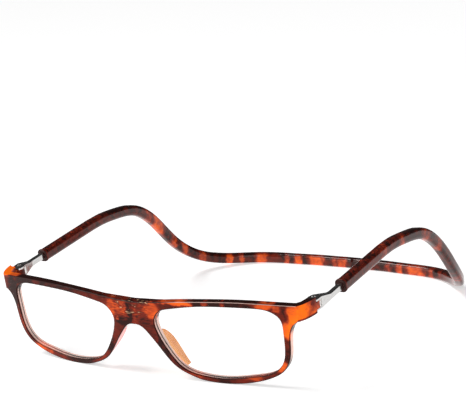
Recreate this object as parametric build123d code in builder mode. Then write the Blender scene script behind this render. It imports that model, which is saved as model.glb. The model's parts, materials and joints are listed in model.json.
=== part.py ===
"""Magnetic bridge reading glasses: two half fronts, each hinged to an arm that slides into one neck band.

All sizes are in millimetres. The fronts and the arms are drawn upright, as they are worn: X across the
face, Y from the bridge back to the neck, Z up from the lowest point of the rims. The pieces are drawn
for the +X side and mirrored for the other. The finished pieces are then tipped forward by the lie angle,
the way the glasses rest on a table, on the bottoms of the rims and on the back of the band.
"""

import os
from math import asin, cos, radians, sin

from build123d import *

# How the glasses lie on the table
lie_angle = 9.5
overall_reach = 177.6

# Front, seen from ahead and from above
front_half_width = 68.2
front_height = 33.6
wrap_radius = 287.0
rim_depth = 2.8
bridge_depth = 3.8
bridge_blend = 4.5
front_round = 0.4

# Lens, and the groove that it sits in
lens_thickness = 1.3
lens_setback = 0.6
groove_depth = 0.6
groove_clearance = 0.05

# Nose arch, which opens out towards the face, and the pads behind it
nose_splay = 1.9
pad_reach = 5.0
pad_thickness = 1.5
pad_round = 0.5

# Magnetic joint at the bridge
seam_gap = 0.05
magnet_width = 5.3
magnet_height = 6.0
magnet_depth = 2.1
magnet_above_arch = 1.5
magnet_recess = 0.15
magnet_clearance = 0.05

# End piece and hinge
gusset_width = 3.2
end_piece_reach = 10.4
hinge_outside = 0.9
knuckle_below_brow = 6.1
knuckle_radius = 2.3
knuckle_height = 2.8
ear_radius = 2.3
upper_ear = 1.0
lower_ear = 0.9
ear_play = 0.1
hinge_clearance = 0.6
web_gap = 0.9
bush_radius = 1.15
bush_fit = 0.02
screw_radius = 0.65
screw_play = 0.05
screw_head_radius = 1.3
screw_head_height = 0.55
screw_head_sink = 0.1
screw_slot_width = 0.4
screw_slot_depth = 0.25

# Telescopic arm: metal wedge, its tang, and the tube of the band that it slides into
arm_outside = 1.8
arm_below_brow = 5.3
wedge_length = 17.6
wedge_neck = 9.0
wedge_end_width = 2.0
wedge_under_tang = 0.1
wedge_over_tang = 0.8
wedge_chamfer = 0.3
mouth_gap = 0.05
tang_width = 1.8
tang_height = 1.8
tang_length = 32.0
tang_nose = 0.4
bore_play = 0.1
stop_height = 0.45
stop_length = 1.2
stop_play = 0.1

# Detent spring on the tang, and the notched guide that it rides in
leaf_thickness = 0.2
leaf_width = 1.4
leaf_foot = 1.6
leaf_span = 6.0
leaf_rise = 0.45
leaf_play = 0.05
guide_wall = 0.35
guide_length = 31.5
guide_round = 0.3
notch_count = 8
notch_pitch = 3.2
notch_length = 1.6
notch_width = 1.2
draw_steps = 6

# Neck band
band_width = 4.4
band_height = 4.8
band_round = 1.5
tube_length = 33.2
collar_length = 1.0
collar_lip = 0.2
collar_round = 0.3
collar_spigot = 0.9
fit_play = 0.05
loop_bulge = 0.9
neck_bulge = 0.19
crest_rise = 0.96
loop_stations = 24

# A cutter runs past the faces that it cuts by this much
overrun = 5.0

# Brow line from the seam outwards, in shares of the front's half width and height
brow_shares = [
    (0.0, 0.921),
    (0.123, 0.936),
    (0.293, 0.969),
    (0.469, 0.991),
    (0.645, 1.0),
    (0.82, 0.988),
    (1.0, 0.965),
]

# Underside of one half front, from the crown of the nose arch round the rim to the end piece, in shares
# of the front's half width and height, each with the share of the splay that its wall leans out by
underside_shares = [
    (0.0, 0.64, 0.0),
    (0.052, 0.617, 0.3),
    (0.0924, 0.54, 0.9),
    (0.166, 0.312, 1.0),
    (0.24, 0.138, 1.0),
    (0.32, 0.052, 0.6),
    (0.433, 0.01, 0.2),
    (0.543, 0.0, 0.0),
    (0.675, 0.023, 0.0),
    (0.8, 0.089, 0.0),
    (0.889, 0.2, -0.1),
    (0.929, 0.376, -0.15),
    (0.939, 0.56, -0.1),
    (0.954, 0.69, 0.0),
    (1.0, 0.782, 0.0),
]

# Lens opening from its upper nose corner, in shares of the front's half width and height
lens_shares = [
    (0.165, 0.800),
    (0.139, 0.673),
    (0.152, 0.553),
    (0.219, 0.296),
    (0.281, 0.158),
    (0.396, 0.080),
    (0.543, 0.062),
    (0.718, 0.107),
    (0.833, 0.176),
    (0.880, 0.281),
    (0.901, 0.448),
    (0.906, 0.663),
    (0.897, 0.806),
    (0.849, 0.891),
    (0.753, 0.928),
    (0.615, 0.935),
    (0.411, 0.921),
    (0.242, 0.869),
]

# Plan of the end piece behind the rim, in shares of the ways out to the knuckle and back to the hinge
gusset_outer_shares = [(0.5, 0.22), (0.84, 0.51), (1.0, 0.8), (1.0, 1.0)]
gusset_inner_shares = [(0.5, 1.0), (0.52, 0.6), (0.43, 0.26), (0.26, 0.09)]

# Pad: it follows the arch where the wall leans out by this share, and its back edge is in shares of its
# reach and length
pad_lean_share = 0.9
pad_shares = [(0.62, 0.0), (0.85, 0.3), (1.0, 0.72), (0.6, 1.0)]

# Route of the band behind its straight tubes, in shares of the half width of the band, of the way from
# the tube to the back of the neck, and of the rise of the crest above the stretch on the table
route_shares = [
    (0.993, 0.18, 1.0),
    (0.997, 0.313, 0.957),
    (1.0, 0.44, 0.772),
    (0.993, 0.589, 0.4),
    (0.935, 0.735, 0.13),
    (0.816, 0.857, 0.03),
    (0.642, 0.952, 0.005),
    (0.361, 0.986, 0.001),
]


def wrap_y(x, set_back=0.0):
    """Depth of the wrapped front at a distance from the middle, or of a surface set back behind it."""
    return wrap_radius - (wrap_radius - set_back) * cos(asin(x / (wrap_radius - set_back)))


# Places that several pieces share
bridge_top = brow_shares[0][1] * front_height
rest_x = min(underside_shares, key=lambda share: share[1])[0] * front_half_width
end_piece_top = brow_shares[-1][1] * front_height
end_piece_base = underside_shares[-1][1] * front_height
lens_across = [across * front_half_width for across, up in lens_shares]
lens_up = [up * front_height for across, up in lens_shares]
lens_from_bridge = min(lens_across)
lens_middle_x = (min(lens_across) + max(lens_across)) / 2
lens_middle_z = (min(lens_up) + max(lens_up)) / 2
hinge_out = front_half_width + hinge_outside
corner_y = wrap_y(front_half_width)
hinge_back = corner_y + end_piece_reach
knuckle_edge = hinge_out + knuckle_radius
knuckle_above_base = front_height - knuckle_below_brow
knuckle_top = knuckle_above_base + knuckle_height
ear_top = knuckle_top + ear_play + upper_ear
ear_base = knuckle_above_base - ear_play - lower_ear
web_radius = knuckle_radius + web_gap
arch_crown = underside_shares[0][1] * front_height
magnet_base = arch_crown + magnet_above_arch
magnet_face = (bridge_depth - magnet_depth) / 2
arm_out = hinge_out + arm_outside
arm_above_base = front_height - arm_below_brow
mouth_back = hinge_back + wedge_length
guide_width = tang_width + 2 * bore_play + 2 * guide_wall
bore_height = tang_height + bore_play + leaf_thickness + leaf_rise + leaf_play
guide_height = bore_height + 2 * guide_wall
guide_base = arm_above_base - guide_height / 2
tang_base = guide_base + guide_wall + bore_play
tang_top = tang_base + tang_height
tube_start = mouth_back + collar_length
guide_start = tube_start + collar_spigot
draw_length = draw_steps * notch_pitch
stop_start = guide_start + draw_length + stop_play
leaf_start = stop_start + stop_length + fit_play
leaf_middle = leaf_start + leaf_foot + leaf_span / 2

# The table, in upright coordinates: what is drawn upright is read in this plane and comes out lying
lie_sine = sin(radians(lie_angle))
lie = Plane(
    origin=(0, bridge_top * lie_sine - overall_reach / 2, -wrap_y(rest_x) * lie_sine),
    x_dir=(1, 0, 0),
    z_dir=(0, -lie_sine, cos(radians(lie_angle))),
)


os.makedirs("parts", exist_ok=True)


def save(shape, name):
    """Label one piece and write it under its own name."""
    shape.label = name
    export_step(shape, f"parts/{name}.step")


def lay_down(part, piece):
    """Write a right-hand piece and its mirror image, both tipped forward onto the table."""
    laid = lie.from_local_coords(part)
    save(laid, f"right_{piece}")
    save(mirror(laid, about=Plane.YZ), f"left_{piece}")


def lens_outline(margin):
    """Front view of the lens opening, grown all round by a margin."""
    wider = 1 + margin / (lens_middle_x - lens_from_bridge)
    taller = 1 + margin / (max(lens_up) - lens_middle_z)
    points = [
        (lens_middle_x + (x - lens_middle_x) * wider, lens_middle_z + (z - lens_middle_z) * taller)
        for x, z in zip(lens_across, lens_up)
    ]
    with BuildSketch(Plane.XZ) as outline:
        with BuildLine():
            Spline(*points, periodic=True)
        make_face()
    return outline.sketch


def lens_slab(near, far, margin):
    """Wrapped slab between two depths behind the front's face, cut to the lens outline with a margin."""
    outline = lens_outline(margin)
    with BuildPart() as slab:
        with BuildSketch(Plane.XY):
            with Locations((0, wrap_radius)):
                Circle(wrap_radius - near)
                Circle(wrap_radius - far, mode=Mode.SUBTRACT)
        extrude(amount=front_height)
        extrude(outline, amount=-wrap_radius / 2, mode=Mode.INTERSECT)
    return slab.part


# Front view of one half front at two depths. The nose side opens out towards the face, the temple side
# draws in, and a loft between the two views gives the walls between them.
front_views = []
for depth in (-overrun / 5, wrap_y(front_half_width, rim_depth) + overrun / 5):
    underside = []
    for across, up, lean in underside_shares:
        x = across * front_half_width
        underside.append((x + lean * nose_splay * (depth - wrap_y(x)) / rim_depth, up * front_height))
    with BuildSketch(Plane.XZ.offset(-depth)) as front_view:
        with BuildLine():
            brow = Spline([(across * front_half_width, up * front_height) for across, up in brow_shares])
            lower = Spline(underside)
            Line(brow @ 1, lower @ 1)
            Line(lower @ 0, brow @ 0)
        make_face()
    front_views.append(front_view.sketch)

# Plan of one half front: the wrapped rim, and the thicker bridge that blends into it
with BuildSketch(Plane.XY) as front_plan:
    with Locations((0, wrap_radius)):
        Circle(wrap_radius)
        Circle(wrap_radius - rim_depth, mode=Mode.SUBTRACT)
    with BuildLine():
        blend_end = lens_from_bridge + bridge_blend
        Polyline(
            (0, rim_depth / 2),
            (0, bridge_depth),
            (lens_from_bridge / 2, bridge_depth),
            (blend_end, wrap_y(blend_end, rim_depth)),
            (blend_end, wrap_y(blend_end, rim_depth / 2)),
            close=True,
        )
    make_face()
    with Locations((seam_gap, 0)):
        Rectangle(
            front_half_width - seam_gap,
            wrap_radius,
            align=(Align.MIN, Align.CENTER),
            mode=Mode.INTERSECT,
        )

# End piece: the front bends back at its corner and narrows to the hinge knuckle
gusset_x = front_half_width - gusset_width
gusset_y = wrap_y(gusset_x, rim_depth)
with BuildPart() as end_piece:
    with BuildSketch(Plane.XY.offset(end_piece_base)):
        with BuildLine():
            outer = Spline(
                (front_half_width, corner_y),
                *[
                    (
                        front_half_width + across * (knuckle_edge - front_half_width),
                        corner_y + back * end_piece_reach,
                    )
                    for across, back in gusset_outer_shares
                ],
            )
            Polyline(
                outer @ 1,
                *[
                    (
                        gusset_x + across * (knuckle_edge - gusset_x),
                        gusset_y + back * (hinge_back - gusset_y),
                    )
                    for across, back in gusset_inner_shares
                ],
                (gusset_x, gusset_y),
                (gusset_x, wrap_y(gusset_x, rim_depth / 2)),
                outer @ 0,
            )
        make_face()
    extrude(amount=end_piece_top - end_piece_base)

# One half of the front
groove = lens_slab(
    lens_setback - groove_clearance,
    lens_setback + lens_thickness + groove_clearance,
    groove_depth + groove_clearance,
)
opening = lens_outline(0)
with BuildPart() as rim:
    loft(front_views)
    extrude(front_plan.sketch, amount=front_height + overrun, both=True, mode=Mode.INTERSECT)
    extrude(opening, amount=-wrap_radius / 2, mode=Mode.SUBTRACT)
    # The edges of the front face are rounded, except at the seam and where the end piece carries on
    fillet(
        rim.edges().filter_by(
            lambda edge: all(
                abs((edge @ step).Y - wrap_y((edge @ step).X)) < front_round for step in (0, 1 / 2, 1)
            )
            and front_round < (edge @ (1 / 2)).X < front_half_width - front_round
        ),
        front_round,
    )
    add(end_piece.part)
    add(groove, mode=Mode.SUBTRACT)
    # Room for the ears of the hinge, below and above, and the round knuckle between them
    for base in (knuckle_above_base - overrun, knuckle_top):
        with BuildSketch(Plane.XY.offset(base)):
            with Locations((hinge_out, hinge_back)):
                Circle(ear_radius + hinge_clearance)
        extrude(amount=overrun, mode=Mode.SUBTRACT)
    with BuildSketch(Plane.XY.offset(knuckle_above_base)):
        with Locations((hinge_out, hinge_back)):
            Circle(knuckle_radius)
    extrude(amount=knuckle_height)
    with BuildSketch(Plane.XY.offset(knuckle_above_base)):
        with Locations((hinge_out, hinge_back)):
            Circle(bush_radius)
    extrude(amount=knuckle_height, mode=Mode.SUBTRACT)
    # The pocket of the magnet opens at the seam
    with Locations((0, magnet_face - magnet_clearance, magnet_base - magnet_clearance)):
        Box(
            seam_gap + magnet_recess + magnet_width + magnet_clearance,
            magnet_depth + 2 * magnet_clearance,
            magnet_height + 2 * magnet_clearance,
            align=Align.MIN,
            mode=Mode.SUBTRACT,
        )
lay_down(rim.part, "rim")

with BuildPart() as lens:
    add(lens_slab(lens_setback, lens_setback + lens_thickness, groove_depth))
lay_down(lens.part, "lens")

with BuildPart() as magnet:
    with Locations((seam_gap + magnet_recess, magnet_face, magnet_base)):
        Box(magnet_width, magnet_depth, magnet_height, align=Align.MIN)
lay_down(magnet.part, "magnet")

# Pad: a slim fin behind the rim that carries the splayed wall of the nose arch on towards the face
pad_line = []
for across, up, lean in underside_shares:
    if lean >= pad_lean_share:
        x = across * front_half_width + lean * nose_splay + pad_thickness / 2
        pad_line.append((x, up * front_height))
pad_base, pad_top = pad_line[-1][1], pad_line[0][1]
with BuildPart() as nose_pad:
    with BuildSketch(Plane.XZ) as pad_foot:
        with BuildLine():
            Spline(pad_line)
        trace(line_width=pad_thickness)
    extrude(amount=-wrap_radius / 2)
    with BuildSketch(Plane.YZ) as pad_side:
        with BuildLine():
            ridge = Spline(
                [
                    (rim_depth + back * pad_reach, pad_base + up * (pad_top - pad_base))
                    for back, up in pad_shares
                ]
            )
            Polyline(ridge @ 1, (0, pad_top), (0, pad_base), ridge @ 0)
        make_face()
    extrude(amount=front_half_width, mode=Mode.INTERSECT)
    fillet(nose_pad.faces().sort_by(Axis.Y)[-1].edges(), pad_round)
    with BuildSketch(Plane.XY):
        with Locations((0, wrap_radius)):
            Circle(wrap_radius + overrun)
            Circle(wrap_radius - rim_depth, mode=Mode.SUBTRACT)
    extrude(amount=front_height, mode=Mode.SUBTRACT)
    add(rim.part, mode=Mode.SUBTRACT)
lay_down(nose_pad.part, "nose_pad")

# Hinge: bush in the knuckle, and the screw that runs through both ears
screw_base = ear_base + ear_play
screw_seat = ear_top - screw_head_sink - screw_head_height
with BuildPart() as hinge_bush:
    with BuildSketch(Plane.XY.offset(knuckle_above_base)):
        with Locations((hinge_out, hinge_back)):
            Circle(bush_radius - bush_fit)
            Circle(screw_radius + screw_play, mode=Mode.SUBTRACT)
    extrude(amount=knuckle_height)
lay_down(hinge_bush.part, "hinge_bush")

with BuildPart() as hinge_screw:
    with BuildSketch(Plane.XY.offset(screw_base)):
        with Locations((hinge_out, hinge_back)):
            Circle(screw_radius)
    extrude(amount=screw_seat - screw_base)
    with BuildSketch(Plane.XY.offset(screw_seat)):
        with Locations((hinge_out, hinge_back)):
            Circle(screw_head_radius)
    extrude(amount=screw_head_height)
    with BuildSketch(Plane.XY.offset(screw_seat + screw_head_height)):
        with Locations((hinge_out, hinge_back)):
            Rectangle(2 * screw_head_radius + overrun, screw_slot_width)
    extrude(amount=-screw_slot_depth, mode=Mode.SUBTRACT)
lay_down(hinge_screw.part, "hinge_screw")

# Hinge arm: a wedge with two ears in front, and a slim tang behind
wedge_rear = mouth_back - mouth_gap
wedge_top = tang_top + wedge_over_tang
wedge_base = tang_base - wedge_under_tang
with BuildPart() as hinge_arm:
    with BuildSketch(Plane.XY.offset(ear_base)):
        with Locations((hinge_out, hinge_back)):
            Circle(ear_radius)
        with Locations((arm_out, wedge_rear - wedge_neck)):
            Rectangle(wedge_end_width, wedge_end_width)
        make_hull()
        with Locations((arm_out, wedge_rear)):
            Rectangle(wedge_end_width, wedge_neck, align=(Align.CENTER, Align.MAX))
    extrude(amount=ear_top - ear_base)
    with BuildSketch(Plane.YZ) as wedge_side:
        with BuildLine():
            Polyline(
                (hinge_back - ear_radius, ear_base),
                (hinge_back - ear_radius, ear_top),
                (hinge_back + ear_radius, ear_top),
                (wedge_rear - wedge_neck, wedge_top),
                (wedge_rear, wedge_top),
                (wedge_rear, wedge_base),
                (wedge_rear - wedge_neck, wedge_base),
                (hinge_back + ear_radius, ear_base),
                close=True,
            )
        make_face()
    extrude(amount=knuckle_edge + overrun, mode=Mode.INTERSECT)
    chamfer(hinge_arm.edges(), wedge_chamfer)
    # Slot between the ears for the knuckle, and the seat and the bore of the screw
    with BuildSketch(Plane.XY.offset(knuckle_above_base - ear_play)):
        with Locations((hinge_out, hinge_back)):
            Circle(web_radius)
    extrude(amount=knuckle_height + 2 * ear_play, mode=Mode.SUBTRACT)
    with BuildSketch(Plane.XY.offset(ear_base)):
        with Locations((hinge_out, hinge_back)):
            Circle(screw_radius)
    extrude(amount=ear_top - ear_base, mode=Mode.SUBTRACT)
    with BuildSketch(Plane.XY.offset(screw_seat)):
        with Locations((hinge_out, hinge_back)):
            Circle(screw_head_radius + screw_play)
    extrude(amount=ear_top - screw_seat, mode=Mode.SUBTRACT)
    # The tang, with its chamfered tail and the lug that stops it at full draw
    with Locations((arm_out, mouth_back - wedge_end_width, tang_base)):
        Box(
            tang_width,
            tang_length + wedge_end_width,
            tang_height,
            align=(Align.CENTER, Align.MIN, Align.MIN),
        )
    chamfer(hinge_arm.faces().sort_by(Axis.Y)[-1].edges(), tang_nose)
    with Locations((arm_out, stop_start, tang_top)):
        Box(tang_width, stop_length, stop_height, align=(Align.CENTER, Align.MIN, Align.MIN))
lay_down(hinge_arm.part, "hinge_arm")

# Detent spring: a leaf on the tang that bows up under the notches
with BuildPart() as detent_spring:
    with BuildSketch(Plane.YZ.offset(arm_out)):
        leaf_line = tang_top + leaf_thickness / 2
        bow_start = leaf_start + leaf_foot
        bow_end = bow_start + leaf_span
        with BuildLine():
            Line((leaf_start, leaf_line), (bow_start, leaf_line))
            ThreePointArc(
                (bow_start, leaf_line),
                (leaf_middle, leaf_line + leaf_rise),
                (bow_end, leaf_line),
            )
            Line((bow_end, leaf_line), (bow_end + leaf_foot, leaf_line))
        trace(line_width=leaf_thickness)
    extrude(amount=leaf_width / 2, both=True)
lay_down(detent_spring.part, "detent_spring")

# Guide in the tube, with its row of notches over the spring
with BuildPart() as guide_sleeve:
    with Locations((arm_out, guide_start, guide_base)):
        Box(guide_width, guide_length, guide_height, align=(Align.CENTER, Align.MIN, Align.MIN))
    fillet(guide_sleeve.edges().filter_by(Axis.Y), guide_round)
    with Locations((arm_out, guide_start, guide_base + guide_wall)):
        Box(
            tang_width + 2 * bore_play,
            guide_length,
            bore_height,
            align=(Align.CENTER, Align.MIN, Align.MIN),
            mode=Mode.SUBTRACT,
        )
    with Locations(
        [
            (
                arm_out,
                leaf_middle - step * notch_pitch,
                guide_base + guide_wall + bore_height - guide_round,
            )
            for step in range(notch_count)
        ]
    ):
        Box(
            notch_width,
            notch_length,
            overrun,
            align=(Align.CENTER, Align.CENTER, Align.MIN),
            mode=Mode.SUBTRACT,
        )
lay_down(guide_sleeve.part, "guide_sleeve")

# Collar: the flared ring at the mouth of the tube, with a spigot ahead of the guide
with BuildPart() as end_collar:
    with BuildSketch(Plane.XZ.offset(-mouth_back)):
        with Locations((arm_out, arm_above_base)):
            RectangleRounded(
                band_width + 2 * collar_lip,
                band_height + 2 * collar_lip,
                band_round + collar_lip,
            )
    extrude(amount=-collar_length)
    fillet(end_collar.faces().sort_by(Axis.Y)[0].edges(), collar_round)
    with BuildSketch(Plane.XZ.offset(-tube_start)):
        with Locations((arm_out, arm_above_base)):
            RectangleRounded(guide_width, guide_height, guide_round)
    extrude(amount=-collar_spigot)
    with Locations((arm_out, mouth_back, tang_base - bore_play)):
        Box(
            tang_width + 2 * bore_play,
            collar_length + collar_spigot,
            tang_height + 2 * bore_play,
            align=(Align.CENTER, Align.MIN, Align.MIN),
            mode=Mode.SUBTRACT,
        )
lay_down(end_collar.part, "end_collar")

# Neck band: straight tubes that carry on from the arms, then one soft loop down to the table
tube_end = tube_start + tube_length
tube_front = lie.from_local_coords(Vector(arm_out, tube_start, arm_above_base))
tube_back = lie.from_local_coords(Vector(arm_out, tube_end, arm_above_base))
band_end = overall_reach / 2 - neck_bulge - band_width / 2
crest_above_table = tube_back.Z + crest_rise - band_height / 2
route = [
    Vector(
        across * (arm_out + loop_bulge),
        tube_back.Y + back * (band_end - tube_back.Y),
        band_height / 2 + up * crest_above_table,
    )
    for across, back, up in route_shares
]
tube_way = (tube_back - tube_front).normalized()
with BuildLine() as loop:
    Spline(
        tube_back,
        *route,
        Vector(0, band_end, band_height / 2),
        tangents=(tube_way, Vector(-1, 0, 0)),
    )
cavity_length = collar_spigot + guide_length + fit_play
with BuildPart() as headband:
    # One side: sections that stand upright across the loop, then the straight tube ahead of them
    for station in range(loop_stations + 1):
        step = station / loop_stations
        way = loop.line % step
        with BuildSketch(Plane(origin=loop.line @ step, x_dir=way.cross(Vector(0, 0, 1)), z_dir=way)):
            RectangleRounded(band_width, band_height, band_round)
    loft()
    with BuildSketch(Plane(origin=tube_back, x_dir=(1, 0, 0), z_dir=-tube_way)):
        RectangleRounded(band_width, band_height, band_round)
    extrude(amount=tube_length)
    with BuildSketch(Plane(origin=tube_front, x_dir=(1, 0, 0), z_dir=tube_way)):
        Rectangle(guide_width + 2 * fit_play, guide_height + 2 * fit_play)
    extrude(amount=cavity_length, mode=Mode.SUBTRACT)
    mirror(about=Plane.YZ)
save(headband.part, "headband")
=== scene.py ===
"""Dresses the magnetic bridge reading glasses and sets them on a pale table.

Lengths are in metres, or in millimetres where a comment says so.
"""

import json
import math

import bmesh
import bpy
from bpy.props import FloatProperty, FloatVectorProperty, PointerProperty
from mathutils import Matrix, Vector

bl_info = {
    "name": "Magnetic bridge reading glasses",
    "version": (1, 0, 0),
    "blender": (4, 5, 0),
    "location": "View3D > Sidebar > Glasses",
    "description": "Gives the packed reading glasses their plastics, lenses, metal and table",
    "category": "Object",
}

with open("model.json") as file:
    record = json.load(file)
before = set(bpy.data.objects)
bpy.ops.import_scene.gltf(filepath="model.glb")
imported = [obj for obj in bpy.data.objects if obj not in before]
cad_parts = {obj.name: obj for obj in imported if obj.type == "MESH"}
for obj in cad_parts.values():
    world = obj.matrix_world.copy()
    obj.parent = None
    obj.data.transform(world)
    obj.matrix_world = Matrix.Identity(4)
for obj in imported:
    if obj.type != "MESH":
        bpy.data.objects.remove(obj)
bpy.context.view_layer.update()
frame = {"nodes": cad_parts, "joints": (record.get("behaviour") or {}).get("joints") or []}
SIDES = ("left", "right")
MILLIMETRE = 0.001

# The fronts stand along the hinge axes. Heights on them are measured up that way from the lowest point
# of the rims, which is given here in millimetres
HINGE = next(joint for joint in frame["joints"] if joint["name"] == "right_hinge")
UP_WAY = Vector(HINGE["axis"])
BACK_WAY = Vector((0.0, UP_WAY.z, -UP_WAY.y))
FRONT_FOOT = Vector((0.0, -83.7, -0.4))

# The face of the fronts is bent round an arc of this radius, in millimetres
WRAP_RADIUS = 287.0

# Patches of the fronts: how much darker or lighter, then middle and reach across and up, in millimetres
FRONT_PATCHES = [
    (0.2, (-40.0, 32.0), (30.0, 4.6)),
    (-0.2, (-9.6, 28.6), (2.4, 5.4)),
    (-0.2, (-4.5, 28.6), (4.0, 3.4)),
    (0.3, (-4.2, 22.8), (4.2, 2.2)),
    (-0.35, (-7.0, 23.4), (0.9, 0.8)),
    (0.28, (-1.2, 26.5), (1.1, 4.6)),
    (-0.16, (3.4, 28.0), (3.0, 4.0)),
    (-0.34, (9.6, 28.0), (4.4, 4.8)),
    (0.3, (4.0, 31.9), (9.0, 0.8)),
    (0.26, (-13.6, 16.0), (3.6, 9.5)),
    (0.2, (12.0, 15.0), (2.8, 9.0)),
    (-0.25, (15.6, 17.5), (1.4, 10.0)),
    (-0.42, (20.0, 32.2), (9.0, 1.2)),
    (0.25, (29.8, 32.5), (2.2, 2.5)),
    (-0.22, (32.7, 32.4), (1.5, 1.0)),
    (0.25, (36.0, 32.6), (2.4, 2.5)),
    (-0.22, (39.2, 32.3), (1.4, 1.0)),
    (0.25, (46.0, 32.2), (6.0, 3.0)),
    (-0.4, (56.2, 32.2), (3.6, 1.6)),
    (-0.35, (60.6, 31.0), (2.0, 1.5)),
    (-0.5, (67.5, 28.5), (4.4, 6.4)),
    (0.22, (63.9, 28.6), (1.1, 3.8)),
    (-0.42, (63.4, 22.6), (2.2, 4.2)),
    (0.08, (62.0, 14.5), (1.6, 6.0)),
    (-0.42, (59.8, 8.0), (3.2, 3.0)),
    (-0.22, (48.0, 3.6), (5.0, 2.0)),
    (0.2, (37.0, 1.6), (5.0, 2.0)),
    (-0.2, (26.0, 5.0), (4.5, 2.6)),
    (0.2, (-30.0, 1.6), (9.0, 3.0)),
    (-0.3, (-50.0, 5.0), (7.0, 4.5)),
    (-0.3, (-58.0, 13.0), (4.0, 5.0)),
    (0.28, (-64.0, 26.0), (4.0, 7.0)),
    (-0.55, (-69.5, 33.6), (4.2, 2.4)),
]

# Places along the band are its turn about a point this far behind the origin, times a radius, both in
# millimetres. They run from the middle of its back, and are positive on the right
BAND_PIVOT = 20.0
BAND_RADIUS = 60.0

# Light rings round the band: strength, middle and half length, in millimetres along it
BAND_PATCHES = [
    (0.45, -92.0, 2.0),
    (0.62, -85.7, 3.6),
    (0.5, -76.5, 1.8),
    (0.5, -70.7, 1.7),
    (0.45, -62.8, 1.6),
    (0.65, -51.7, 1.5),
    (0.5, -47.0, 1.0),
    (0.62, -39.6, 2.3),
    (0.22, -34.6, 2.6),
    (0.5, -29.7, 1.0),
    (0.66, -24.7, 1.6),
    (0.7, -16.8, 3.7),
    (0.42, -8.2, 1.1),
    (0.6, -4.4, 2.3),
    (0.28, 9.0, 2.0),
    (0.28, 17.9, 1.5),
    (0.6, 23.2, 1.6),
    (0.6, 30.5, 4.2),
    (0.52, 37.3, 1.2),
    (0.25, 42.0, 1.0),
    (0.3, 58.0, 3.0),
    (0.25, 71.0, 2.0),
    (0.3, 89.0, 1.8),
    (0.35, 98.0, 2.6),
    (0.45, 114.6, 1.6),
    (0.3, 125.0, 1.5),
]

# Where a patch starts to fade and has gone, as shares of its reach, and the same for a ring
PATCH_FADE = (0.55, 1.15)
RING_FADE = (0.45, 1.4)

# How far patches wander off their places, in millimetres: across and up the fronts, and along the band
FRONT_WANDER = (4.0, 3.0)
BAND_WANDER = 2.2

# How wide each swing of that wandering is, as a share of the clouds' size
FRONT_SWING = (0.5, 0.35)
BAND_SWING = 0.25

# Streaks and brush marks are drawn out: their places are squeezed to this share along them
STREAK_SQUEEZE = 0.22
BRUSH_SQUEEZE = 0.06

# Where the loop of the band turns into its tubes, in millimetres along it
TUBE_ALONG = (114.0, 122.0)

# Where things on the fronts begin and are full, in millimetres out from the middle or up from the foot
BRIDGE_OUT = (8.0, 13.0)
BRIDGE_UP = (21.0, 23.0)
GLINTS_UP = (25.0, 27.0)
TOP_UP = (24.0, 26.0)
TOP_HIGHLIGHT_UP = (30.0, 31.0)
TOP_HIGHLIGHT_RIGHT = (14.0, 22.0)
END_PIECE_OUT = (65.0, 67.0)
RIGHT_END_TOP = (59.0, 62.0)
LEFT_END_TOP = (58.0, 61.0)

# The line between the nose arch and the lens openings, in millimetres: how far out it is at the foot,
# and how much nearer to the middle for each millimetre up
OPENING_OUT = (18.6, 19.8)
OPENING_LEAN = 0.6

# How far behind the face the painted sheen on the polished cuts begins and is full, in millimetres
CUT_SHEEN_BACK = (0.5, 1.1)

# Lower line of the end pieces in millimetres: where it leaves the rim, how it rises, and its level part,
# then how wide its brim of painted shade is and where the brim begins
END_FOOT = (64.9, 22.1)
END_SLOPE = 1.27
END_FLOOR = 26.3
BRIM_WIDTH = (0.35, 1.0)
BRIM_OUT = (65.0, 65.8)

# How squarely a surface of the fronts faces up, down, or to the front or back, from 0 to 1: where it
# begins to count as such, and where it does so fully
TOP_FACING = (0.5, 0.9)
UNDERSIDE_FACING = (0.12, 0.5)
WALL_FACING = (0.12, 0.3)
FACE_FACING = (0.82, 0.97)

# The painted highlight along the top lies where the rounded edge has begun to face up, and ends on the
# flat top
TOP_HIGHLIGHT_BEGINS = (0.3, 0.5)
TOP_HIGHLIGHT_ENDS = (0.72, 0.9)

# How squarely the top of the band faces up, and the mouths of the collars face the front
BAND_TOP_FACING = (0.35, 0.85)
MOUTH_FACING = (0.3, 0.7)

# How dark each colour of the plastic is, from 0 for the clearest to 1
COLOUR_DARKNESS = {"amber": 0.0, "flame": 0.28, "rust": 0.52, "bark": 0.84}

# How dark the plastic of the fronts is between its clouds, and how much darker or lighter its parts are.
# The edges, undersides, brims and tops get painted shade, and the polished cuts a painted sheen
FRONT_DARKNESS = 0.48
CLOUD_DARKNESS = 0.26
STREAK_DARKNESS = 0.4
BRIDGE_STREAKS = 0.7
EDGE_PAINTED_SHADE = 0.42
UNDERSIDE_PAINTED_SHADE = 0.55
BRIM_PAINTED_SHADE = 0.5
TOP_PAINTED_SHADE = 0.1
RIGHT_END_DARKNESS = 0.75
LEFT_END_DARKNESS = -0.62
CUT_SHEEN_DARKNESS = -0.2

# How pale the painted sheen on the polished cuts, the painted highlight along the top and the painted
# glints of the bridge are, from 0 for the plastic's own colour
CUT_SHEEN_PALENESS = 0.75
TOP_HIGHLIGHT_PALENESS = 0.45
GLINT_PALENESS = 0.6

# How dark the band is between its clouds and rings, and how much darker or lighter its parts are. Its
# top gets painted shade, and the tubes are lighter, mostly on their tops as painted light
BAND_DARKNESS = 0.66
BAND_CLOUD_DARKNESS = 0.22
BAND_TOP_PAINTED_SHADE = 0.1
TUBE_DARKNESS = -0.08
TUBE_FLECK_DARKNESS = -0.34

# How strong the rings are on the sides of the band, and how much weaker they are on its top, under
# painted shade
RING_STRENGTH = 0.8
RING_TOP_SHADE = 0.24

# The share of the tubes' lightness that their sides have. Their tops have all of it, the rest being
# painted light
TUBE_SIDE_LIGHT_SHARE = 0.3

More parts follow.
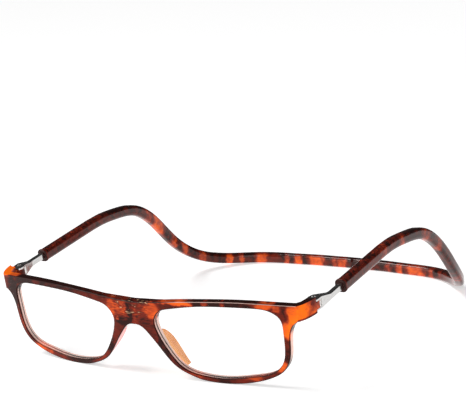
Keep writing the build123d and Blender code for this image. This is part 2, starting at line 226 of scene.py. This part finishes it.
# How dark the collars are, and how much darker their flecks and mouths are
COLLAR_DARKNESS = 0.6
COLLAR_FLECK_DARKNESS = 0.18
MOUTH_DARKNESS = 0.3

# How far behind the face the nose pads begin to deepen, and are deepest, in millimetres
PAD_EDGE = (3.4, 5.6)

# How much the nose pads hide of what is behind them
PAD_COVER = {"left": 0.8, "right": 0.84}

# Side view of the table, as places back and up. It steps down just ahead of the rims, so that an opened
# half front clears it
TABLE_HALF = 6.0
TABLE_STEP = -0.0845
TABLE_DROP = 0.015
TABLE_PROFILE = [
    (-TABLE_HALF, -TABLE_DROP),
    (TABLE_STEP, -TABLE_DROP),
    (TABLE_STEP, 0.0),
    (TABLE_HALF, 0.0),
]

# Where the camera stands, in front of the glasses and to the right
CAMERA_PLACE = Vector((0.35627, -0.56081, 0.19083))

# Soft boxes: name, place, width and height, and power in watts
SOFT_BOXES = [
    ("low_left", (-0.9, -0.9, 0.35), (1.3, 0.9), 9.5),
    ("low_right", (0.9, -1.0, 0.4), (1.2, 0.9), 9.0),
]

# The soft light from high up: where it comes from, its strength, and how wide it is seen from the table
HIGH_PLACE = (-0.53, -0.2, 0.82)
HIGH_STRENGTH = 1.75
HIGH_SPREAD = math.radians(25.0)

# A Mix node's sockets for numbers, vectors and colours share their names, so the colours' are numbered
MIX_FIRST = 6
MIX_SECOND = 7
MIX_RESULT = 2


def fill_ramp(ramp, stops):
    """Give a colour ramp its stops, each a position and a colour."""
    while len(ramp.elements) < len(stops):
        ramp.elements.new(1.0)
    for element, (position, colour) in zip(ramp.elements, stops):
        element.position = position
        element.color = (*colour, 1.0)


class Wire:
    """One socket of a shader tree. Arithmetic on it adds the Math nodes that it needs."""

    def __init__(self, paint, socket):
        self.paint = paint
        self.socket = socket

    def math(self, operation, *others, clamp=False):
        """Add a Math node that works on this number and on others."""
        settings = {"operation": operation, "use_clamp": clamp}
        return self.paint.node("ShaderNodeMath", settings, dict(enumerate((self, *others))))

    def __add__(self, other):
        return self.math("ADD", other)

    __radd__ = __add__

    def __mul__(self, other):
        return self.math("MULTIPLY", other)

    __rmul__ = __mul__

    def __sub__(self, other):
        return self.math("SUBTRACT", other)

    def __rsub__(self, other):
        return self.math("MULTIPLY_ADD", -1.0, other)

    def __neg__(self):
        return self.math("MULTIPLY", -1.0)

    def away(self):
        """The number without its sign."""
        return self.math("ABSOLUTE")

    def capped(self, limit):
        """The number, or the limit where the number is higher."""
        return self.math("MINIMUM", limit)

    def clamped(self):
        """The number, kept between 0 and 1."""
        return self.math("ADD", 0.0, clamp=True)

    def step(self, low, high):
        """Rise smoothly from 0 at low to 1 at high."""
        settings = {"interpolation_type": "SMOOTHSTEP"}
        sockets = {"Value": self, "From Min": low, "From Max": high}
        return self.paint.node("ShaderNodeMapRange", settings, sockets)


class Paint:
    """A material, built up from expressions on its object's coordinates."""

    def __init__(self, name):
        self.material = bpy.data.materials.new(name)
        self.material.use_nodes = True
        self.tree = self.material.node_tree
        self.tree.nodes.clear()
        self.shader = self.tree.nodes.new("ShaderNodeBsdfPrincipled")
        output = self.tree.nodes.new("ShaderNodeOutputMaterial")
        self.tree.links.new(self.shader.outputs[0], output.inputs["Surface"])
        self.place = self.node("ShaderNodeTexCoord", {}, {}, "Object")

    def node(self, kind, settings, sockets, output=0):
        """Add a node: its settings first, then the values or wires of its sockets."""
        made = self.tree.nodes.new(kind)
        for name, value in settings.items():
            if name == "stops":
                fill_ramp(made.color_ramp, value)
            else:
                setattr(made, name, value)
        for name, value in sockets.items():
            self.feed(made.inputs[name], value)
        return Wire(self, made.outputs[output])

    def feed(self, socket, value):
        """Give a socket its wire, colour, vector or number."""
        if isinstance(value, Wire):
            self.tree.links.new(value.socket, socket)
        elif socket.type == "RGBA" and len(value) == 3:
            socket.default_value = (*value, 1.0)
        else:
            socket.default_value = value

    def vector_math(self, operation, *values, output=0):
        """Add a Vector Math node."""
        sockets = dict(enumerate(values))
        return self.node("ShaderNodeVectorMath", {"operation": operation}, sockets, output)

    def axes(self):
        """The three numbers of the place on the object, in millimetres."""
        split = self.node("ShaderNodeSeparateXYZ", {}, {0: self.place}).socket.node
        return [Wire(self, output) * (1.0 / MILLIMETRE) for output in split.outputs]

    def vector(self, x, y, z):
        """Join three numbers to a vector."""
        return self.node("ShaderNodeCombineXYZ", {}, {0: x, 1: y, 2: z})

    def upright(self):
        """Across, back and up along the fronts as they are worn, in millimetres."""
        x, y, z = self.axes()
        back = (y - FRONT_FOOT.y) * BACK_WAY.y + (z - FRONT_FOOT.z) * BACK_WAY.z
        up = (y - FRONT_FOOT.y) * UP_WAY.y + (z - FRONT_FOOT.z) * UP_WAY.z
        return x, back, up

    def facing(self, way):
        """How far the surface faces a way on the object, 1 when it faces it squarely."""
        normal = self.node("ShaderNodeTexCoord", {}, {}, "Normal")
        return self.vector_math("DOT_PRODUCT", normal, tuple(way), output="Value")

    def noise(self, size, detail=2.0, rough=0.5, twist=0.0, place=None):
        """Soft noise with features of about this size. Size and any place given are in millimetres."""
        sockets = {
            "Vector": place or self.place,
            "Scale": 1.0 / size if place else 1.0 / (size * MILLIMETRE),
            "Detail": detail,
            "Roughness": rough,
            "Distortion": twist,
        }
        return self.node("ShaderNodeTexNoise", {}, sockets, "Fac")

    def mix(self, factor, first, second):
        """Blend two colours."""
        sockets = {"Factor": factor, MIX_FIRST: first, MIX_SECOND: second}
        return self.node("ShaderNodeMix", {"data_type": "RGBA"}, sockets, MIX_RESULT)

    def bump(self, height, depth):
        """Raise the surface by a height of 0 to 1 times this many millimetres."""
        sockets = {"Height": height, "Distance": depth * MILLIMETRE, "Strength": 1.0}
        return self.node("ShaderNodeBump", {}, sockets, "Normal")

    def finish(self, **sockets):
        """Set the shader's sockets, named with underscores for spaces."""
        for name, value in sockets.items():
            self.feed(self.shader.inputs[name.replace("_", " ")], value)
        return self.material


def context_settings(group):
    """The settings of one part of the scene, as the sidebar shows them."""
    return getattr(bpy.context.scene, f"glasses_{group}")


def patch_size():
    """Size of the clouds in the plastic, in millimetres."""
    return context_settings("plastic").patch_size / MILLIMETRE


def patches(paint, place, table):
    """Sum of soft patches on a plane, each with its strength, middle and reach."""
    total = 0.0
    for strength, middle, reach in table:
        from_middle = paint.vector_math("SUBTRACT", place, (*middle, 0.0))
        share = paint.vector_math("DIVIDE", from_middle, (*reach, 1.0))
        distance = paint.vector_math("LENGTH", share, output="Value")
        total = (1.0 - distance.step(*PATCH_FADE)) * strength + total
    return total


def rings(along, table):
    """Sum of soft rings round the band, each with its strength, middle and half length."""
    total = 0.0
    for strength, middle, half in table:
        near, far = (half * share for share in RING_FADE)
        total = (1.0 - (along - middle).away().step(near, far)) * strength + total
    return total


def speckle(paint, size=1.6, place=None):
    """Fine, twisted flecks."""
    return paint.noise(size, detail=3.0, rough=0.6, twist=0.8, place=place)


def deepened(colour, share):
    """A colour with only this share of its light."""
    return tuple(value * share for value in colour)


def mottled(paint, darkness):
    """Colour of the plastic as it deepens from clear amber to near black."""
    settings = context_settings("plastic")
    stops = [(dark, tuple(getattr(settings, name))) for name, dark in COLOUR_DARKNESS.items()]
    return paint.node("ShaderNodeValToRGB", {"stops": stops}, {"Fac": darkness.clamped()}, "Color")


def plastic_finish(paint, colour, grain, gloss):
    """Polished plastic with a faint moulded waviness, and painted emission that stands in for the light
    that it lets through.
    """
    settings = context_settings("plastic")
    return paint.finish(
        Base_Color=colour,
        Roughness=grain * 0.08 + settings.roughness,
        IOR=1.46,
        Specular_IOR_Level=gloss,
        Specular_Tint=tuple(settings.sheen),
        Normal=paint.bump(grain, depth=0.012),
        # Emission painted on: the plastic gives off light of its own, standing in for light that it lets
        # through
        Emission_Color=colour,
        Emission_Strength=settings.painted_glow,
    )


def front_mottling(paint, across, up, cloud, streaks, near_bridge):
    """How dark the clouds, patches and streaks make the fronts."""
    aside = paint.noise(patch_size() * FRONT_SWING[0]) - 0.5
    upward = paint.noise(patch_size() * FRONT_SWING[1], twist=0.5) - 0.5
    place = paint.vector(aside * FRONT_WANDER[0] + across, upward * FRONT_WANDER[1] + up, 0.0)
    darkness = cloud * CLOUD_DARKNESS + FRONT_DARKNESS + patches(paint, place, FRONT_PATCHES)
    return (streaks - 0.5) * (near_bridge * BRIDGE_STREAKS + STREAK_DARKNESS) + darkness


def shaded_end_brim(out, up):
    """The lower brim of the end pieces, which rises from the rim and then runs level. Painted shade goes
    on it.
    """
    line = ((out - END_FOOT[0]) * END_SLOPE + END_FOOT[1]).capped(END_FLOOR)
    return (1.0 - (up - line).step(*BRIM_WIDTH)) * out.step(*BRIM_OUT)


def front_plastic():
    """Mottled plastic of the half fronts, with painted shade on the edges, undersides, brims and tops, a
    painted sheen on the pale cuts, a painted highlight along the right top and a streaked bridge with
    painted glints.
    """
    paint = Paint("mottled_front")
    settings = context_settings("plastic")
    across, back, up = paint.upright()
    out = across.away()
    cloud = paint.noise(patch_size(), rough=0.55, twist=0.4).step(0.32, 0.68)
    streaks = speckle(paint, 1.0, paint.vector(across * STREAK_SQUEEZE, back, up))
    near_bridge = (1.0 - out.step(*BRIDGE_OUT)) * up.step(*BRIDGE_UP)
    darkness = front_mottling(paint, across, up, cloud, streaks, near_bridge)

    # Painted shade: the rounded edges, the undersides and the brims are painted deeper than the front
    # face
    upwards = paint.facing(UP_WAY)
    square = paint.facing(BACK_WAY).away()
    rim = 1.0 - out.step(*END_PIECE_OUT)
    under = (-upwards).step(*UNDERSIDE_FACING)
    wall = (1.0 - square.step(*WALL_FACING)) * (1.0 - under)
    edge = (1.0 - square.step(*FACE_FACING)) * rim * (1.0 - wall)
    brim = shaded_end_brim(out, up)
    painted_outline_shade = edge * EDGE_PAINTED_SHADE + under * UNDERSIDE_PAINTED_SHADE + brim * BRIM_PAINTED_SHADE

    # The tops get a little painted shade. The top of the right end piece is dark, and the top of the
    # left one is pale
    top = upwards.step(*TOP_FACING) * up.step(*TOP_UP)
    right_end = across.step(*RIGHT_END_TOP) * RIGHT_END_DARKNESS
    left_end = (-across).step(*LEFT_END_TOP) * LEFT_END_DARKNESS
    tops = top * (right_end + left_end + TOP_PAINTED_SHADE)

    # The walls of the lens openings and the outer sides of the rims are polished cuts, given a painted
    # sheen
    painted_sheen_cut = wall * (up * OPENING_LEAN + out).step(*OPENING_OUT) * rim * (1.0 - top)
    colour = mottled(paint, painted_outline_shade + tops + painted_sheen_cut * CUT_SHEEN_DARKNESS + darkness)

    # Painted glints in the bridge, a painted highlight along the right top edge, and a painted sheen on
    # the cuts behind the face
    bridge_glint = streaks.step(0.6, 0.68) * near_bridge * up.step(*GLINTS_UP)
    colour = paint.mix(bridge_glint * GLINT_PALENESS, colour, tuple(settings.bridge_glint))
    # Painted highlight: a pale line painted along the rounded right top edge
    rounded = upwards.step(*TOP_HIGHLIGHT_BEGINS) * (1.0 - upwards.step(*TOP_HIGHLIGHT_ENDS))
    painted_top_highlight = rounded * up.step(*TOP_HIGHLIGHT_UP) * across.step(*TOP_HIGHLIGHT_RIGHT)
    colour = paint.mix(painted_top_highlight * TOP_HIGHLIGHT_PALENESS, colour, tuple(settings.painted_sheen_colour))
    behind_face = back - across * across * (0.5 / WRAP_RADIUS)
    cut_sheen = painted_sheen_cut * behind_face.step(*CUT_SHEEN_BACK) * (cloud * 0.2 + CUT_SHEEN_PALENESS)
    colour = paint.mix(cut_sheen, colour, tuple(settings.painted_sheen_colour))
    return plastic_finish(paint, colour, paint.noise(3.0), gloss=0.13)


def band_plastic():
    """Mottled plastic of the neck band, with light rings, a top deepened by painted shade, and flecked
    tubes with painted light on their tops.
    """
    paint = Paint("mottled_band")
    x, y, _ = paint.axes()
    wander = paint.noise(patch_size() * BAND_SWING) - 0.5
    along = x.math("ARCTAN2", y - BAND_PIVOT) * BAND_RADIUS + wander * BAND_WANDER
    cloud = paint.noise(3.0, twist=0.4).step(0.3, 0.7)
    top = paint.facing((0.0, 0.0, 1.0)).step(*BAND_TOP_FACING)
    tube = along.away().step(*TUBE_ALONG)
    flecks = speckle(paint).step(0.45, 0.7) * tube

    # Painted shade and light: the rings are weaker on the top, and the tubes and their flecks are
    # lighter on it
    darkness = cloud * BAND_CLOUD_DARKNESS + BAND_DARKNESS + top * BAND_TOP_PAINTED_SHADE
    darkness = darkness - rings(along, BAND_PATCHES) * (RING_STRENGTH - top * RING_TOP_SHADE)
    lighter = tube * TUBE_DARKNESS + flecks * TUBE_FLECK_DARKNESS
    darkness = lighter * (top * (1.0 - TUBE_SIDE_LIGHT_SHARE) + TUBE_SIDE_LIGHT_SHARE) + darkness
    return plastic_finish(paint, mottled(paint, darkness), paint.noise(4.0), gloss=0.42)


def collar_plastic():
    """The collars are moulded in the same plastic, with a dark mouth."""
    paint = Paint("collar_plastic")
    flecks = speckle(paint).step(0.4, 0.7)
    mouth = (-paint.facing(BACK_WAY)).step(*MOUTH_FACING)
    darkness = flecks * COLLAR_FLECK_DARKNESS + mouth * MOUTH_DARKNESS + COLLAR_DARKNESS
    return plastic_finish(paint, mottled(paint, darkness), flecks, gloss=0.25)


def lens_glass():
    """Clear, coated lenses."""
    paint = Paint("clear_lens")
    settings = context_settings("fittings")
    coating = paint.noise(30.0, detail=1.0)
    return paint.finish(
        Base_Color=tuple(settings.lens_tint),
        Roughness=coating * 0.01 + 0.01,
        IOR=1.45,
        Alpha=settings.lens_cover,
    )


def pad_plastic(side):
    """Tinted plastic of one nose pad, deeper towards its back, with emission painted on."""
    paint = Paint(f"{side}_pad_plastic")
    settings = context_settings("fittings")
    _, back, _ = paint.upright()
    cloud = paint.noise(5.0).step(0.3, 0.7)
    edge = back.step(*PAD_EDGE)
    pale = tuple(getattr(settings, f"{side}_pad"))
    deep = tuple(getattr(settings, f"deep_{side}_pad"))
    tint = paint.mix(cloud * 0.4 + edge * 0.5, pale, deep)
    return paint.finish(
        Base_Color=tint,
        Roughness=cloud * 0.08 + 0.14,
        Alpha=cloud * 0.1 + PAD_COVER[side],
        Normal=paint.bump(cloud, depth=0.02),
        # Emission painted on: the pad gives off light of its own
        Emission_Color=tint,
        Emission_Strength=settings.painted_pad_glow,
    )


def polished_metal(name, colour, rough):
    """Metal brushed from front to back, a little darker where it is worn."""
    paint = Paint(name)
    across, back, up = paint.upright()
    brushed = paint.noise(0.16, place=paint.vector(across, back * BRUSH_SQUEEZE, up))
    wear = paint.noise(1.6, detail=3.0).step(0.45, 0.7)
    tint = paint.mix(wear * 0.25, tuple(colour), deepened(colour, 0.75))
    return paint.finish(
        Base_Color=tint,
        Metallic=1.0,
        Roughness=brushed * 0.1 + wear * 0.05 + rough,
        Normal=paint.bump(brushed, depth=0.004),
    )


def guide_plastic():
    """Plain dark plastic of the sleeves that guide the arms."""
    paint = Paint("guide_plastic")
    colour = context_settings("fittings").guide
    grain = paint.noise(0.5, detail=3.0)
    tint = paint.mix(grain.step(0.4, 0.7), tuple(colour), deepened(colour, 0.55))
    return paint.finish(
        Base_Color=tint,
        Roughness=grain * 0.12 + 0.4,
        Normal=paint.bump(grain, depth=0.01),
    )


def table_surface():
    """White table that gives off some light of its own, so that the shadows stay pale."""
    settings = context_settings("stage")
    return Paint("table_white").finish(
        Base_Color=tuple(settings.floor_colour),
        Roughness=0.7,
        Emission_Color=(1.0, 1.0, 1.0),
        Emission_Strength=settings.floor_glow,
    )


def dress(names, material):
    """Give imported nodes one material."""
    for name in names:
        for slot in frame["nodes"][name].material_slots:
            slot.material = material


def both(piece):
    """Names of a piece's two nodes."""
    return [f"{side}_{piece}" for side in SIDES]


def colour_setting(name, description, value):
    """A colour that the user may change."""
    return FloatVectorProperty(
        name=name, description=description, subtype="COLOR", min=0.0, max=1.0, default=value
    )


def share_setting(name, description, value):
    """A number from 0 to 1 that the user may change."""
    return FloatProperty(name=name, description=description, min=0.0, max=1.0, default=value)


def light_setting(name, description, value):
    """A strength of light that the user may change."""
    return FloatProperty(name=name, description=description, min=0.0, default=value)


def angle_setting(name, description, degrees):
    """An angle that the user may change."""
    return FloatProperty(
        name=name, description=description, subtype="ANGLE", default=math.radians(degrees)
    )


class GlassesPlastic(bpy.types.PropertyGroup):
    """Colours and finish of the mottled plastic"""

    amber: colour_setting("Amber", "Clearest parts of the mottled plastic", (0.95, 0.15, 0.004))
    flame: colour_setting("Flame", "Where the plastic begins to deepen", (0.52, 0.064, 0.011))
    rust: colour_setting("Rust", "Brown clouds of the plastic", (0.155, 0.0145, 0.006))
    bark: colour_setting("Bark", "Darkest clouds of the plastic", (0.018, 0.0045, 0.0035))
    sheen: colour_setting("Sheen", "Tint of the reflections on the plastic", (1.0, 0.74, 0.69))
    # Colour of the painted glints in the bridge
    bridge_glint: colour_setting("Flecks", "Pale flecks in the bridge", (0.95, 0.55, 0.3))
    # Colour of the painted sheen on the polished cuts and of the painted highlight along the top edge
    painted_sheen_colour: colour_setting("Cut edge", "Polished cuts and top edge of the fronts", (0.96, 0.66, 0.57))
    patch_size: FloatProperty(
        name="Patch size", description="Size of the clouds in the plastic", unit="LENGTH", default=0.009
    )
    roughness: share_setting("Roughness", "Roughness of the polished plastic", 0.1)
    # Strength of the emission painted on the plastic, standing in for light that it lets through
    painted_glow: share_setting("Inner light", "Light that the plastic lets through", 0.12)


class GlassesFittings(bpy.types.PropertyGroup):
    """Colours of the metal, the lenses, the nose pads and the guides"""

    metal: colour_setting("Arm metal", "Polished metal of the arms and screws", (0.62, 0.61, 0.6))
    bush: colour_setting("Bush metal", "Brass bushes of the hinges", (0.78, 0.6, 0.3))
    magnet: colour_setting("Magnet metal", "Plated magnets of the bridge", (0.6, 0.6, 0.62))
    spring: colour_setting("Spring metal", "Springs on the tangs of the arms", (0.6, 0.6, 0.6))
    guide: colour_setting("Guides", "Plastic of the guide sleeves inside the tubes", (0.1, 0.06, 0.05))
    lens_tint: colour_setting("Lens tint", "Colour of the lenses", (0.97, 0.985, 0.98))
    lens_cover: share_setting("Lens cover", "How much the lenses hide", 0.05)
    left_pad: colour_setting("Left pad", "Plastic of the left nose pad", (0.8, 0.36, 0.34))
    right_pad: colour_setting("Right pad", "Plastic of the right nose pad", (0.98, 0.46, 0.12))
    deep_left_pad: colour_setting("Deep left pad", "Back of the left nose pad", (0.7, 0.26, 0.24))
    deep_right_pad: colour_setting("Deep right pad", "Back of the right nose pad", (0.72, 0.22, 0.03))
    # Strength of the emission painted on the nose pads
    painted_pad_glow: share_setting("Pad light", "Light that the nose pads let through", 0.3)


class GlassesStage(bpy.types.PropertyGroup):
    """Table, room light and camera"""

    floor_colour: colour_setting("Table colour", "Colour of the table", (0.9, 0.9, 0.9))
    floor_glow: light_setting("Table light", "Light that the white table gives", 0.52)
    world_light: light_setting("Room light", "Light of the room round the table", 0.05)
    lens: FloatProperty(
        name="Camera lens", description="Focal length in millimetres", unit="CAMERA", default=125.17
    )
    azimuth: angle_setting("Azimuth", "Camera's turn round the glasses", 33.05)
    elevation: angle_setting("Elevation", "Camera's angle above the table", 11.89)
    roll: angle_setting("Roll", "Camera's lean", -3.49)


class GLASSES_OT_band(bpy.types.Operator):
    """Dress the neck band and what is inside its tubes"""

    bl_idname = "glasses.band"
    bl_label = "Neck band"

    def execute(self, context):
        dress(["headband"], band_plastic())
        dress(both("end_collar"), collar_plastic())
        dress(both("guide_sleeve"), guide_plastic())
        return {"FINISHED"}


class GLASSES_OT_front(bpy.types.Operator):
    """Dress the two half fronts with their lenses, pads and magnets"""

    bl_idname = "glasses.front"
    bl_label = "Half fronts"

    def execute(self, context):
        settings = context_settings("fittings")
        dress(both("rim"), front_plastic())
        dress(both("lens"), lens_glass())
        dress(both("magnet"), polished_metal("magnet_metal", settings.magnet, rough=0.25))
        for side in SIDES:
            dress([f"{side}_nose_pad"], pad_plastic(side))
        return {"FINISHED"}


class GLASSES_OT_hinges(bpy.types.Operator):
    """Dress the hinges, arms and springs"""

    bl_idname = "glasses.hinges"
    bl_label = "Hinges and arms"

    def execute(self, context):
        settings = context_settings("fittings")
        dress(both("hinge_arm"), polished_metal("arm_metal", settings.metal, rough=0.08))
        dress(both("hinge_screw"), polished_metal("screw_metal", settings.metal, rough=0.14))
        dress(both("hinge_bush"), polished_metal("bush_metal", settings.bush, rough=0.3))
        dress(both("detent_spring"), polished_metal("spring_metal", settings.spring, rough=0.2))
        return {"FINISHED"}


class GLASSES_OT_stage(bpy.types.Operator):
    """Set the table, the lights and the camera"""

    bl_idname = "glasses.stage"
    bl_label = "Table, lights and camera"

    def execute(self, context):
        self.lay_table(context)
        self.set_camera(context)
        self.light_room(context)
        context.scene.view_settings.view_transform = "Standard"
        return {"FINISHED"}

    def lay_table(self, context):
        """Make the table: a grid whose rows, two corners each, follow its side view."""
        mesh = bmesh.new()
        bmesh.ops.create_grid(mesh, x_segments=1, y_segments=len(TABLE_PROFILE) - 1, size=TABLE_HALF)
        front_to_back = sorted(mesh.verts, key=lambda vert: vert.co.y)
        for number, vert in enumerate(front_to_back):
            vert.co.y, vert.co.z = TABLE_PROFILE[number // 2]
        floor = bpy.data.objects.new("table", bpy.data.meshes.new("table"))
        mesh.to_mesh(floor.data)
        mesh.free()
        context.scene.collection.objects.link(floor)
        floor.data.materials.append(table_surface())

    def set_camera(self, context):
        """Look at the glasses from the front right, with the camera leant over a little."""
        settings = context_settings("stage")
        turn, rise, roll = settings.azimuth, settings.elevation, settings.roll
        level = math.cos(rise)
        back = Vector((math.sin(turn) * level, -math.cos(turn) * level, math.sin(rise)))
        right = Vector((math.cos(turn), math.sin(turn), 0.0))
        up = back.cross(right)
        leant_right = right * math.cos(roll) + up * math.sin(roll)
        leant_up = up * math.cos(roll) - right * math.sin(roll)
        turned = Matrix((leant_right, leant_up, back)).transposed().to_4x4()
        camera = bpy.data.objects.new("camera", bpy.data.cameras.new("camera"))
        camera.data.lens = settings.lens
        camera.matrix_world = Matrix.Translation(CAMERA_PLACE) @ turned
        context.scene.collection.objects.link(camera)
        context.scene.camera = camera

    def light_room(self, context):
        """Light the table from the room, from two soft boxes and from high up."""
        world = bpy.data.worlds.new("studio")
        context.scene.world = world
        world.use_nodes = True
        room = world.node_tree.nodes["Background"].inputs
        room["Color"].default_value = (1.0, 1.0, 1.0, 1.0)
        room["Strength"].default_value = context_settings("stage").world_light
        for name, place, size, power in SOFT_BOXES:
            box = bpy.data.lights.new(name, "AREA")
            box.shape = "RECTANGLE"
            box.size, box.size_y = size
            box.energy = power
            self.hang(context, box, Vector(place))
        sun = bpy.data.lights.new("high_soft", "SUN")
        sun.energy = HIGH_STRENGTH
        sun.angle = HIGH_SPREAD
        self.hang(context, sun, Vector(HIGH_PLACE))

    def hang(self, context, light, place):
        """Put a light at a place, turned towards the glasses."""
        lamp = bpy.data.objects.new(light.name, light)
        turned = place.to_track_quat("Z", "Y").to_matrix().to_4x4()
        lamp.matrix_world = Matrix.Translation(place) @ turned
        context.scene.collection.objects.link(lamp)


class GLASSES_PT_panel(bpy.types.Panel):
    """Lists the parts of the scene and what can be changed"""

    bl_idname = "GLASSES_PT_panel"
    bl_label = "Reading glasses"
    bl_space_type = "VIEW_3D"
    bl_region_type = "UI"
    bl_category = "Glasses"

    def draw(self, context):
        for operator in OPERATORS:
            self.layout.operator(operator.bl_idname)
        for group, kind in GROUPS.items():
            for name in kind.__annotations__:
                self.layout.prop(context_settings(group), name)


GROUPS = {"plastic": GlassesPlastic, "fittings": GlassesFittings, "stage": GlassesStage}
OPERATORS = (GLASSES_OT_band, GLASSES_OT_front, GLASSES_OT_hinges, GLASSES_OT_stage)
CLASSES = (*GROUPS.values(), *OPERATORS, GLASSES_PT_panel)


def register():
    for cls in CLASSES:
        bpy.utils.register_class(cls)
    for group, kind in GROUPS.items():
        setattr(bpy.types.Scene, f"glasses_{group}", PointerProperty(type=kind))


def unregister():
    for group in GROUPS:
        delattr(bpy.types.Scene, f"glasses_{group}")
    for cls in reversed(CLASSES):
        bpy.utils.unregister_class(cls)


def main():
    """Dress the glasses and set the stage."""
    register()
    for operator in OPERATORS:
        group, name = operator.bl_idname.split(".")
        getattr(getattr(bpy.ops, group), name)()


if __name__ == "__main__":
    main()
